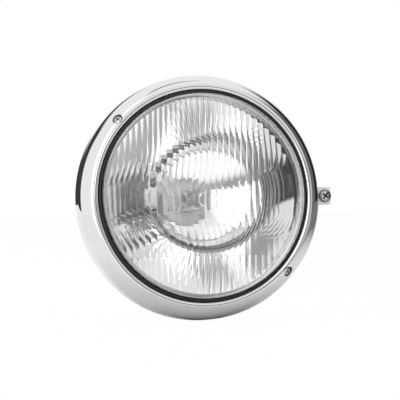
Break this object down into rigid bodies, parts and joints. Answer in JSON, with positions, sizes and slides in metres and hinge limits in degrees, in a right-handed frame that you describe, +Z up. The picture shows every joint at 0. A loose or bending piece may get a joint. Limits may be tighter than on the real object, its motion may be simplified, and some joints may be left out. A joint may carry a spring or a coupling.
{
  "type": "motorcycle headlight",
  "caption": "Round motorcycle headlight unit with a polished chrome rim, a fluted domed glass lens, a mirror bowl with bulb, and a side ear with a fixing screw.",
  "frame": {"origin": "on the lamp's axis, in the plane of the rim's rear edge", "axes": "+Y along the lamp's axis towards the back, the light leaves along -Y, +Z up, +X towards the side with the fixing ear"},
  "size_m": [0.201, 0.1179, 0.188],
  "materials": {
    "chrome": "polished",
    "screw_steel": "bright plated",
    "zinc_steel": "bright zinc plated",
    "lens_glass": "clear",
    "black_rubber": "matte",
    "seal_rubber": "matte",
    "mirror": "vacuum coated",
    "spring_steel": "drawn wire",
    "nylon": "natural",
    "bulb_glass": "clear",
    "bulb_steel": "nickel plated",
    "filament_metal": "drawn wire",
    "base_plastic": "moulded",
    "terminal_brass": "stamped"
  },
  "bodies": {
    "root": {"rim": "chrome", "rim_screws": "screw_steel", "frame_ring": "zinc_steel", "fixing_screw": "screw_steel", "fixing_retainer": "nylon", "lens_gasket": "black_rubber", "lens": "lens_glass", "lens_seal": "seal_rubber", "reflector": "mirror", "retaining_clips": "spring_steel", "bulb_collar": "zinc_steel", "bulb_flange": "bulb_steel", "bulb_glass": "bulb_glass", "bulb_filaments": "filament_metal", "bulb_shield": "bulb_steel", "bulb_insulator": "base_plastic", "bulb_terminals": "terminal_brass", "bulb_clip": "spring_steel", "clip_screw": "screw_steel", "dust_boot": "black_rubber"}
  },
  "joints": []
}
